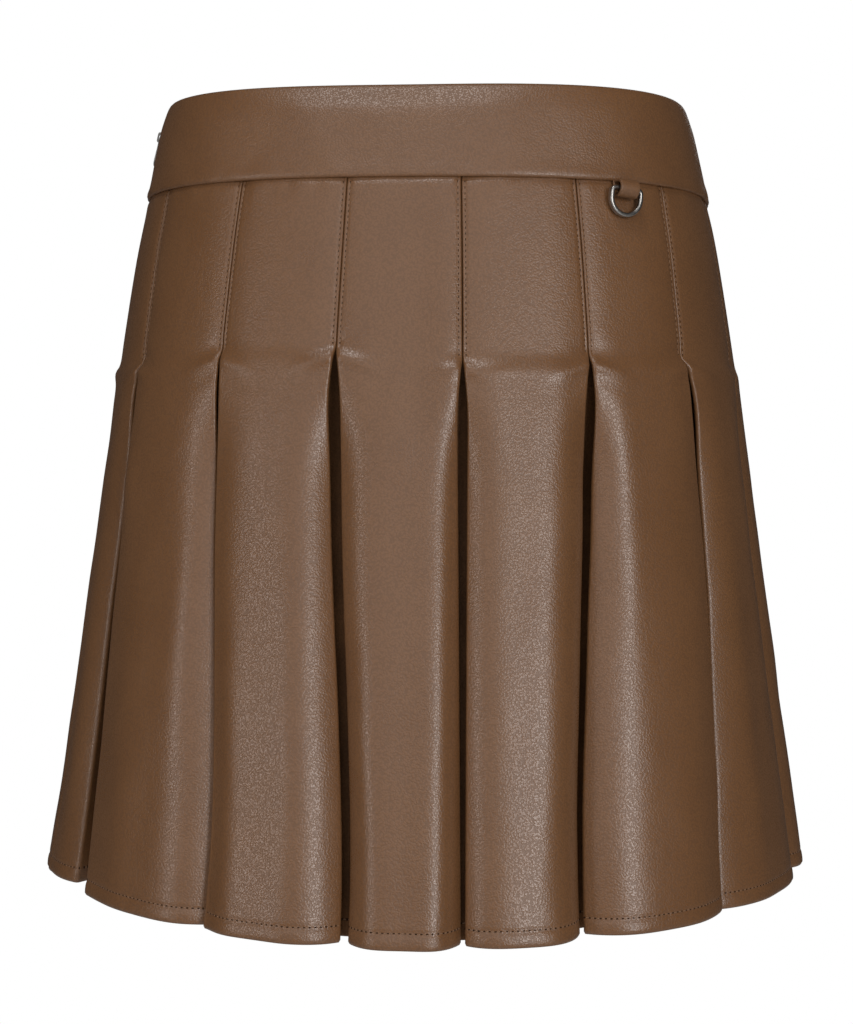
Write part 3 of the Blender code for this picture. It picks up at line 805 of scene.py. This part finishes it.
def stitch_shape():
    """One stitch along +X from hole to hole, its middle raised: points and faces, for a span of 1."""
    stations, sides = (0.20, 0.27, 0.38, 0.5, 0.62, 0.73, 0.80), THREAD["sides"]
    points = []
    for t in stations:
        rise = THREAD["rise"] * math.sin(math.pi * (t - 0.14) / 0.72) ** 0.6 - THREAD["sunk"]
        width = THREAD["radius"] * (0.75 + 0.25 * math.sin(math.pi * t))
        points += [(t, width * x, rise + THREAD["flatness"] * width * y) for x, y in circle(sides)]
    *quads, near_end, far_end = tube_faces(len(stations), sides)
    return np.array(points), [quad[::-1] for quad in quads] + [near_end, far_end]


def hole_shape():
    """A needle's hole: a shallow round rim round a lower middle; its material paints it dark as shade."""
    sides = HOLE["sides"]
    points = [(0.0, 0.0, 0.02)]
    for ring, height in ((0.55, 0.06), (1.0, 0.0)):
        points += [(HOLE["long"] * ring * x, HOLE["wide"] * ring * y, height) for x, y in circle(sides)]
    faces = [[0, 1 + side, 1 + (side + 1) % sides] for side in range(sides)]
    return np.array(points), faces + grid_quads(2, sides, 1, wrap=True).tolist()


def placed_copies(name, shape, places, material):
    """Copies of a small shape joined as one mesh; a place is (origin, along, normal, length along)."""
    points, faces = shape
    all_points, all_faces = [], []
    for index, (origin, along, normal, span) in enumerate(places):
        along = unit(along)
        normal = unit(normal - along * normal.dot(along))
        axes = np.stack((along, np.cross(normal, along), normal))
        all_points.append(origin + points * (span, 1.0, 1.0) @ axes)
        offset = index * len(points)
        all_faces += [[corner + offset for corner in face] for face in faces]
    return mesh_object(name, np.concatenate(all_points), all_faces, [material])


def stitching(name, rows, thread, dark):
    """Threads between the holes of each row, and the holes, as two meshes; dark is the holes' material,
    painted shade.
    """
    threads, holes = [], []
    for row in rows:
        for (here, normal), (there, _) in zip(row[:-1], row[1:]):
            along = there - here
            threads.append((here, along, normal, float(np.linalg.norm(along))))
            holes.append((here, along, normal, 1.0))
        holes.append((row[-1][0], row[-1][0] - row[-2][0], row[-1][1], 1.0))
    return [
        placed_copies(name + "_thread", stitch_shape(), threads, thread),
        placed_copies(name + "_holes", hole_shape(), holes, dark),
    ]


# ---- the waistband
# The band's section, (height, out): up the outside, over the top and down the inside
BAND_FORM = (
    (0.3, 0.3), (0.38, 0.85), (0.75, 1.38), (1.5, 1.72), (3, 1.82), (5.5, 1.58),
    (9, 1.42), (13, 1.4), (18, 1.38), (23, 1.34), (28, 1.3), (32, 1.25),
    (35, 1.18), (37.5, 1.08), (39.5, 0.95), (41.2, 0.78), (42.4, 0.55), (43.3, 0.2),
    (43.8, -0.25), (43.6, -0.75), (42.8, -1.1), (41, -1.3), (36, -1.38), (28, -1.4),
    (20, -1.4), (12, -1.4), (6, -1.42), (2.5, -1.38), (0.9, -1.15), (0.35, -0.6),
)
BAND_STEP = 2.6
BAND_MIDDLE = 35.0
BAND_END_ROUND = {"length": 0.8, "depth": 0.45}
STIFFENED_TOP = {"from": 31.0, "height": 12.0}  # where the band's top starts to lean in


def waistband(name, first_share, last_share, end_gaps, materials):
    """Half of the waistband as one closed form, its outside slightly uneven over the stiffening."""
    middle = Outline(BAND_MIDDLE)
    count = int((middle.arc(last_share) - middle.arc(first_share)) / BAND_STEP)
    shares = np.linspace(0.0, 1.0, count + 1)
    columns = []
    for height, out in BAND_FORM:
        ring = Outline(height)
        start, end = ring.arc(first_share) + end_gaps[0], ring.arc(last_share) - end_gaps[1]
        arcs = between(start, end, shares)
        to_end = np.minimum(arcs - start, end - arcs)
        top = eased((height - STIFFENED_TOP["from"]) / STIFFENED_TOP["height"])
        lean = -(0.6 + 1.7 * hump(arcs + 15.0, 60.0)) * top
        away_from_edges = eased(height / 9.0) * eased((44 - height) / 12.0)
        uneven = 0.20 * ripple(arcs + 0.6 * height, 47.0, 8) * away_from_edges
        roll = 0.16 * ripple(arcs, 16.0, 9) * hump(height - 2.0, 3.0)
        creased = 0.22 * hump(height - 5.5 - 1.1 * ripple(arcs, 40.0, 10), 2.2) * ripple(arcs, 27.0, 11)
        rounding = BAND_END_ROUND["depth"] * np.clip(1 - to_end / BAND_END_ROUND["length"], 0, 1) ** 2
        detail = uneven + roll + creased - rounding if out > 0 else rounding
        columns.append(ring.points(arcs, out + lean + detail))
    return swept(name, np.stack(columns, axis=1), materials)


# ---- the zip
TAPE_THICKNESS = 0.55
TAPE_POINTS = {"down": 60, "across": 9}
COIL = {"top": 30.0, "bottom": -73.0, "pitch": 1.3, "radius": 0.36, "reach": 1.15, "root": 1.6}
COIL_TURN = {"half_depth": 0.75, "behind": 0.9, "slant": 0.25, "loops": 7, "sides": 6}


def tape_out(height):
    return curve(list(reversed(TAPE_LINE)), height)


def zip_tape(name, side, materials):
    """One tape, woven, from the coil's line to its outer edge; side is +1 or -1 along the outline."""
    share = PLEATS[LEFT_SIDE].waist
    across = np.linspace(0.0, TAPE_WIDTH, TAPE_POINTS["across"])
    to_edge = across - TAPE_WIDTH
    ridges = 0.16 * hump(across - 2.2, 0.9) + 0.12 * hump(to_edge + 0.6, 0.5)
    half = TAPE_THICKNESS / 2 - 0.12 * hump(to_edge, 0.3) - 0.08 * hump(across, 0.3)
    sections = []
    for height in np.linspace(TAPE_LINE[0][0], TAPE_LINE[-1][0], TAPE_POINTS["down"]):
        ring = Outline(height)
        arcs = ring.arc(share) + side * (ZIP_GAP / 2 + across)
        middle = tape_out(height) + ridges + 0.07 * ripple(height + across, 31.0, 12)
        faces = [ring.points(arcs, middle + half), ring.points(arcs, middle - half)[::-1]]
        sections.append(np.concatenate(faces))
    return swept(name, sections, materials)


def zip_coil(name, side, materials):
    """The coil's turns on one tape, each reaching over the middle line between two of the other side's."""
    share = PLEATS[LEFT_SIDE].waist
    top = COIL["top"] - (COIL["pitch"] / 2 if side < 0 else 0.0)
    loops, sides = COIL_TURN["loops"], COIL_TURN["sides"]
    wave, way = (turn(np.linspace(0, math.pi, loops)) for turn in (np.sin, np.cos))
    turns = COIL["radius"] * circle(sides)[..., None]
    points, faces = [], []
    for height in np.arange(top, top - COIL["top"] + COIL["bottom"], -COIL["pitch"]):
        ring = Outline(height)
        reach = between(ZIP_GAP / 2 + COIL["root"], ZIP_GAP / 2 - COIL["reach"], wave)
        depth = TAPE_THICKNESS / 2 + COIL_TURN["behind"] - COIL_TURN["half_depth"] * way
        centre = ring.points(ring.arc(share) + side * reach, tape_out(height) - depth)
        centre[:, 2] += COIL_TURN["slant"] * way
        along = unit(np.gradient(centre, axis=0))
        aside = unit(np.cross(along, (0.0, 0.0, 1.0)))
        upward = np.cross(aside, along)
        faces += tube_faces(loops, sides, len(points) * loops * sides)
        points.append(centre[:, None] + turns[:, 0] * aside[:, None] + turns[:, 1] * upward[:, None])
    made = mesh_object(name, np.array(points).reshape(-1, 3), faces, materials)
    outward_faces(made)
    return made


def surface_frame(share, height):
    """A frame on the outline: X back along it, Y out of it and Z up it, following the skirt's slope."""
    span, step = 10.0, 0.5
    ring, lower = Outline(height), Outline(height - span)

    def on(outline, beyond=0.0):
        return Vector(outline.points([outline.arc(share) + beyond], 0.0)[0])

    here = on(ring)
    along = (on(ring, -step) - on(ring, step)).normalized()
    up = (here - on(lower)).normalized()
    up = (up - along * up.dot(along)).normalized()
    out = up.cross(along)
    return Matrix.Translation(here) @ Matrix((along, out, up)).transposed().to_4x4()


def arc_points(centre, radius, start, end, steps):
    """Points on an arc in a plane, angles in degrees."""
    angles = np.radians(np.linspace(start, end, steps + 1))
    return [(centre[0] + radius * math.cos(a), centre[1] + radius * math.sin(a)) for a in angles]


def round_plate(name, outlines, thickness, bevel, matrix, material):
    """A plate with rounded edges from closed outlines in its own XY plane, the second one a hole."""
    outline = bpy.data.curves.new(name + "_outline", "CURVE")
    outline.dimensions = "2D"
    outline.fill_mode = "BOTH"
    outline.extrude = thickness / 2 - bevel
    outline.bevel_depth = bevel
    outline.bevel_resolution = 3
    outline.offset = -bevel
    for points in outlines:
        spline = outline.splines.new("POLY")
        spline.points.add(len(points) - 1)
        for point, (x, y) in zip(spline.points, points):
            point.co = (x, y, 0.0, 1.0)
        spline.use_cyclic_u = True
    helper = placed(name + "_outline", outline)
    bpy.context.view_layer.update()
    mesh = bpy.data.meshes.new_from_object(helper.evaluated_get(bpy.context.evaluated_depsgraph_get()))
    bpy.data.objects.remove(helper)
    bpy.data.curves.remove(outline)
    mesh.transform(Matrix.Scale(MM, 4) @ matrix)
    mesh.name = name
    mesh.materials.clear()
    mesh.materials.append(material)
    made = placed(name, mesh)
    outward_faces(made)
    return made


def joined(name, parts):
    """One object from several."""
    bpy.ops.object.select_all(action="DESELECT")
    for part in parts:
        part.select_set(True)
    bpy.context.view_layer.objects.active = parts[0]
    bpy.ops.object.join()
    parts[0].name = parts[0].data.name = name
    return parts[0]


def arched(half_width, foot, shoulder, radius, steps):
    """An upright outline, square at its foot and rounded at its shoulders."""
    middle = half_width - radius
    return (
        [(-half_width, foot), (half_width, foot)]
        + arc_points((middle, shoulder), radius, 0, 90, steps)
        + arc_points((-middle, shoulder), radius, 90, 180, steps)
    )


def zip_slider(frame, material):
    """The slider's waisted body behind the tapes and the arched bail that passes out between them."""
    turned = Matrix(((1, 0, 0, 0), (0, 0, -1, SLIDER_OUT), (0, 1, 0, 0), (0, 0, 0, 1)))
    half, reach, corner = SLIDER["half_width"], SLIDER["reach"], SLIDER["corner"]
    side = [(1.5, reach)] + arc_points((half - corner, reach - corner), corner, 70, 0, 3)
    side += [(half, 0.8), (SLIDER["waist"], -1.0)] + arc_points((1.3, -reach + 0.8), 0.8, 0, -90, 3)
    outline = side + [(-x, y) for x, y in reversed(side)]
    body = round_plate("zip_slider_body", [outline], SLIDER["thickness"], 0.45, frame @ turned, material)
    side_on = Matrix(((0, 0, 1, 0), (0, 1, 0, 0), (-1, 0, 0, 0), (0, 0, 0, 1)))
    outlines = [arched(2.6, -3.4, 3.1, 1.1, 5), arched(1.4, 1.5, 2.8, 0.6, 4)]
    bail = round_plate("zip_slider_bail", outlines, BAIL_THICKNESS, 0.2, frame @ side_on, material)
    return joined("zip_slider_fine", [body, bail])


def zip_pull(frame, material):
    """The drop shaped pull with rounded edges, hanging from the bail by the bar above its eye."""
    bar, shoulder, eye, corner = PULL["half_bar"], PULL["shoulder"], PULL["eye_half_width"], 0.6
    end = -PULL["eye_end"]
    turned = Matrix.Rotation(math.pi / 2, 4, "X")
    outline = (
        arc_points((shoulder - corner, bar - corner), corner, 0, 90, 3)
        + arc_points((-shoulder + corner, bar - corner), corner, 90, 180, 3)
        + [(-shoulder, end + 0.6), (-shoulder + 0.12, end - 1.4)]
        + arc_points((0, -PULL_DROP["length"]), PULL_DROP["radius"], 172, 368, 22)
        + [(shoulder - 0.12, end - 1.4), (shoulder, end + 0.6)]
    )
    hole = [(eye, -bar), (-eye, -bar), (-eye, end), (eye, end)]
    return round_plate("zip_pull_fine", [outline, hole], PULL["thickness"], 0.3, frame @ turned, material)


# ---- the ring and its loop
def rounded_box(half_high, half_wide, corner, steps=4):
    """A closed section with rounded corners: (high, wide) points."""
    points = []
    for quarter, (high, wide) in enumerate(((1, 1), (-1, 1), (-1, -1), (1, -1))):
        centre = (high * (half_high - corner), wide * (half_wide - corner))
        points += arc_points(centre, corner, 90 * quarter, 90 * quarter + 90, steps)
    return points


def d_ring(frame, material):
    """A flat strip bent to a D: a straight bar on top, round below, its edges and corners softened."""
    half, bend = RING_STRIP["thickness"] / 2, RING_STRIP["bend"]
    radius = RING_HALF_WIDTH - half
    inset = radius - bend
    path = [(x, 0.0) for x in np.linspace(-inset, inset, 9)[1:-1]]
    normals = [(0.0, 1.0)] * len(path)
    for centre, size, start, end, steps in (
        ((inset, -bend), bend, 90, 0, 6),
        ((0.0, -RING_LEG), radius, 0, -180, 40),
        ((-inset, -bend), bend, 180, 90, 6),
    ):
        path += arc_points(centre, size, start, end, steps)
        normals += arc_points((0.0, 0.0), 1.0, start, end, steps)
    section = rounded_box(half, RING_STRIP["width"] / 2, RING_STRIP["corner"])
    lean = Matrix.Rotation(math.pi / 2 - math.radians(RING_LEAN), 4, "X")
    return carried("d_ring_fine", path, normals, section, frame @ lean, [material], closed_path=True)


LOOP_EDGE = ((0.60, 0.0), (0.56, 0.7), (0.45, 0.93), (0.26, 1.0), (0.10, 0.94))
LOOP_GROOVE = 0.16  # between the two layers, along the loop's sides


def ring_loop(frame, materials):
    """A strip of leather folded in two layers, round the bar and up into the waist seam."""
    radius, top = LOOP["radius"], LOOP["top"]
    path = [(-radius, top), (-radius, top * 0.66), (-radius, top * 0.33)]
    path += arc_points((0.0, 0.0), radius, 180, 450, 30)
    path += [(-0.9, radius + 0.02), (-1.6, radius + 0.16), (-2.1, radius + 0.6), (-2.2, top)]
    along = unit(np.gradient(np.array(path), axis=0))
    normals = np.stack((along[:, 1], -along[:, 0]), axis=1)
    half, wide = LOOP["thickness"] / 2, LOOP["width"] / 2
    edge = [(high * half / LOOP_EDGE[0][0], wide - 0.5 + across * 0.5) for high, across in LOOP_EDGE]
    section = edge + [(0.0, wide - LOOP_GROOVE)] + [(-high, across) for high, across in reversed(edge)]
    section += [(high, -across) for high, across in reversed(section)]
    place = Matrix(((0, 0, 1), (1, 0, 0), (0, 1, 0))).to_4x4()
    return carried("ring_loop_fine", path, normals, section, frame @ place, materials)


# ---- light, camera and floor, in metres
LIT_POINT = (0.0, 0.0, -0.16)
LIGHTS = (
    # name, place, size, watts
    ("light_left", (-1.3, -1.4, 0.0), (0.35, 0.9), 4.6),
    ("light_right", (1.0, -1.77, 0.0), (0.6, 0.9), 12.5),
    ("light_front", (0.0, -2.3, 0.8), (2.6, 1.8), 12.8),
    ("light_above", (-0.22, -1.0, 1.7), (0.7, 0.4), 9.0),
    ("light_behind", (0.0, 1.7, 0.9), (1.2, 1.2), 5.0),
)
WORLD_STRENGTH = {"felt": 0.045, "seen": 1.0}
FLOOR = {"size": 6.0, "height": -0.95}
CAMERA = {"distance": 1.0, "azimuth": 5.8, "pitch": 1.0, "roll": 0.5, "height": -0.15535, "lens": 46.875}


def area_light(name, place, size, watts):
    data = bpy.data.lights.new(name, "AREA")
    data.shape = "RECTANGLE"
    data.size, data.size_y = size
    data.energy = watts
    light = placed(name, data)
    light.location = place
    light.rotation_euler = (Vector(LIT_POINT) - Vector(place)).to_track_quat("-Z", "Y").to_euler()


def white_world():
    """White where the camera sees it, and dimmer as light."""
    world = bpy.data.worlds.new("studio")
    bpy.context.scene.world = world
    world.use_nodes = True
    tree = world.node_tree
    tree.nodes.clear()
    kinds = ("OutputWorld", "MixShader", "LightPath")
    output, mix, path = (tree.nodes.new("ShaderNode" + kind) for kind in kinds)
    for slot, strength in enumerate(WORLD_STRENGTH.values(), start=1):
        background = tree.nodes.new("ShaderNodeBackground")
        background.inputs["Color"].default_value = (*WHITE, 1.0)
        background.inputs["Strength"].default_value = strength
        tree.links.new(background.outputs[0], mix.inputs[slot])
    tree.links.new(path.outputs["Is Camera Ray"], mix.inputs[0])
    tree.links.new(mix.outputs[0], output.inputs["Surface"])


def camera():
    data = bpy.data.cameras.new("camera")
    data.sensor_fit = "VERTICAL"
    data.sensor_height = 24.0
    data.lens = CAMERA["lens"]
    data.clip_end = 20.0
    azimuth, distance = math.radians(CAMERA["azimuth"]), CAMERA["distance"]
    made = placed("camera", data)
    made.matrix_world = (
        Matrix.Translation((distance * math.sin(azimuth), -distance * math.cos(azimuth), CAMERA["height"]))
        @ Matrix.Rotation(azimuth, 4, "Z")
        @ Matrix.Rotation(math.radians(90 - CAMERA["pitch"]), 4, "X")
        @ Matrix.Rotation(math.radians(CAMERA["roll"]), 4, "Z")
    )
    bpy.context.scene.camera = made


def studio():
    white_world()
    for light in LIGHTS:
        area_light(*light)
    bpy.ops.mesh.primitive_plane_add(size=FLOOR["size"], location=(0.0, 0.0, FLOOR["height"]))
    floor = bpy.context.active_object
    floor.name = "floor"
    floor.data.materials.append(floor_material())
    floor.visible_camera = False
    camera()
    bpy.context.scene.view_settings.view_transform = "Standard"


# ---- everything together
def dressed(piece, body="skirt", node=None):
    """Gives a piece the body it rides on, and hides node, the solid that it takes the place of."""
    if node:
        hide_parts(node)
    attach(piece, body)


def panels():
    leather = leather_material("satin_leather", DARK_LEATHER, LIGHT_LEATHER, ROUGHNESS["skirt"])
    # Darker, less reflective leather for the hidden layers inside the pleats: painted shade
    tucked_painted_shade = leather_material("painted_shade_fold_leather", PAINTED_SHADE_LEATHER, DARK_LEATHER, ROUGHNESS["fold"], specular=0.15)
    materials = [leather, backing_material(), tucked_painted_shade]
    # The holes' material is dark, painted shade in the needle holes
    thread, holes = thread_material(), hole_shade_material()
    for node, first, last, face_points, cut in (
        ("skirt_front", LEFT_SIDE, RIGHT_SIDE, 40, (1.03, 0.34)),
        ("skirt_back", RIGHT_SIDE, LEFT_SIDE_AGAIN, 32, (1.17, 0.34)),
    ):
        panel = Panel(node + "_leather", first, last, face_points, materials)
        dressed(panel.made, node=node)
        for name, rows in (("_pleat", panel.seam_rows()), ("_hem", panel.hem_rows())):
            for piece in stitching(node + name, rows, thread, holes):
                dressed(piece)


def bands():
    leather = leather_material("band_leather", DARK_LEATHER, LIGHT_LEATHER, ROUGHNESS["band"])
    side_pleats = (LEFT_SIDE, RIGHT_SIDE, LEFT_SIDE_AGAIN)
    zip_share, side_share, zip_again = (PLEATS[index].waist for index in side_pleats)
    zip_half, sewn_half = ZIP_GAP / 2, SEWN_GAP / 2
    for node, first_share, last_share, end_gaps in (
        ("waistband_front", zip_share, side_share, (zip_half, sewn_half)),
        ("waistband_back", side_share, zip_again, (sewn_half, zip_half)),
    ):
        band = waistband(node + "_leather", first_share, last_share, end_gaps, [leather])
        dressed(band, node=node)


def zip_fastener():
    twill, coil = twill_material(), coil_material()
    metal = metal_material("zip_nickel", (0.30, 0.28, 0.26), 0.42)
    for node, side in (("zip_tape_front", 1), ("zip_tape_back", -1)):
        tape = zip_tape(node + "_woven", side, [twill])
        dressed(tape, node=node)
        dressed(zip_coil(node + "_coil", side, [coil]))
    on_band = surface_frame(PLEATS[LEFT_SIDE].waist, SLIDER_HEIGHT)
    dressed(zip_slider(on_band, metal), node="zip_slider")
    dressed(zip_pull(on_band @ Matrix.Translation(BAIL_HOLE), metal), "zip_pull", "zip_pull")


def ring_on_loop():
    leather = leather_material("loop_leather", DARK_LEATHER, LIGHT_LEATHER, ROUGHNESS["loop"])
    metal = metal_material("ring_nickel", (0.44, 0.42, 0.395), 0.30)
    outward = Matrix.Translation((0.0, RING_AXIS["out"], 0.0))
    turned = Matrix.Rotation(-math.radians(RING_TURN), 4, "Y")
    frame = surface_frame(RING_SHARE, RING_AXIS["height"]) @ outward @ turned
    dressed(ring_loop(frame, [leather]), node="ring_loop")
    dressed(d_ring(frame, metal), "d_ring", "d_ring")


def main():
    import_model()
    panels()
    bands()
    zip_fastener()
    ring_on_loop()
    studio()


main()
